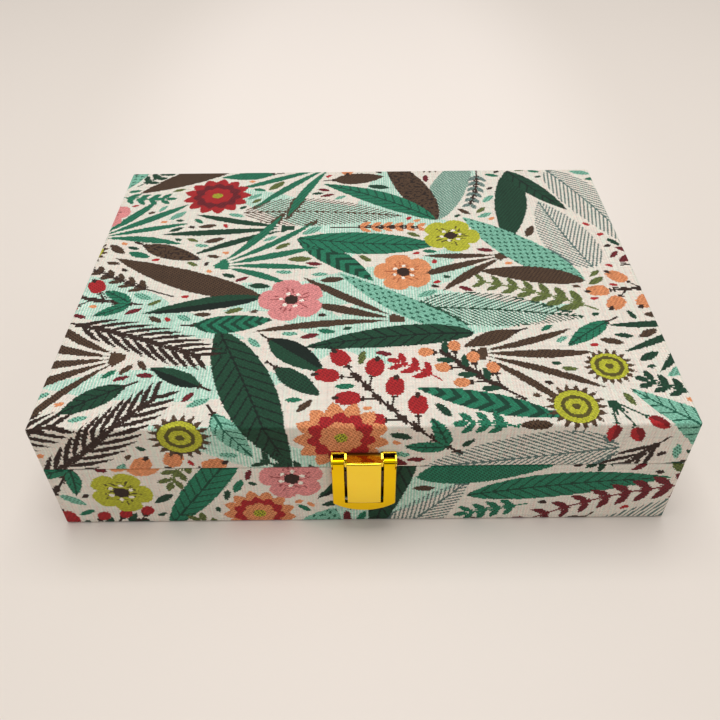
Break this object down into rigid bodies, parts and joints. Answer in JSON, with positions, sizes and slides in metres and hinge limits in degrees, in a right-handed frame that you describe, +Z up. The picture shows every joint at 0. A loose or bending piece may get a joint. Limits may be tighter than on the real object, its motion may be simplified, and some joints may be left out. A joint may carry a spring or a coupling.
{
  "type": "keepsake box",
  "caption": "Low hinged keepsake box of board covered in woven cloth, satin lined, with a brass flap clasp on the front.",
  "frame": {"origin": "middle of the flat underside", "axes": "+X to the right along the long side, +Y to the back, +Z up; the clasp is on the -Y side"},
  "size_m": [0.254, 0.2011, 0.059],
  "materials": {
    "board": "raw fibreboard",
    "brocade": "woven cloth with coloured weft figures",
    "paper": "matt paper-faced card",
    "satin": "ivory satin over card or wadding",
    "wadding": "thin white wadding",
    "hinge_brass": "satin brass",
    "clasp_gold": "polished gold-coloured plate"
  },
  "bodies": {
    "base": {"base_floor_board": "board", "base_front_wall": "board", "base_back_wall": "board", "base_left_wall": "board", "base_right_wall": "board", "base_cover": "brocade", "base_underside_panel": "paper", "base_wall_lining": "satin", "base_floor_pad": "satin", "hinge_left_base_leaf": "hinge_brass", "hinge_right_base_leaf": "hinge_brass", "hinge_left_pin": "hinge_brass", "hinge_right_pin": "hinge_brass", "hinge_base_nails": "hinge_brass", "latch_keeper": "clasp_gold", "latch_keeper_nails": "clasp_gold"},
    "lid": {"lid_top_board": "board", "lid_front_wall": "board", "lid_back_wall": "board", "lid_left_wall": "board", "lid_right_wall": "board", "lid_wadding": "wadding", "lid_cover": "brocade", "lid_wall_lining": "satin", "lid_panel_pad": "satin", "hinge_left_lid_leaf": "hinge_brass", "hinge_right_lid_leaf": "hinge_brass", "hinge_lid_nails": "hinge_brass", "latch_lid_plate": "clasp_gold", "latch_pin": "clasp_gold", "latch_lid_nails": "clasp_gold"},
    "hasp": {"latch_hasp": "clasp_gold"}
  },
  "joints": [
    {"name": "lid_hinge", "type": "hinge", "parent": "base", "child": "lid", "pos_m": [0, 0.09779, 0.03565], "axis": [-1, 0, 0], "range_deg": [0, 175]},
    {"name": "hasp_hinge", "type": "hinge", "parent": "lid", "child": "hasp", "pos_m": [0, -0.099, 0.04225], "axis": [-1, 0, 0], "range_deg": [0, 150]}
  ]
}
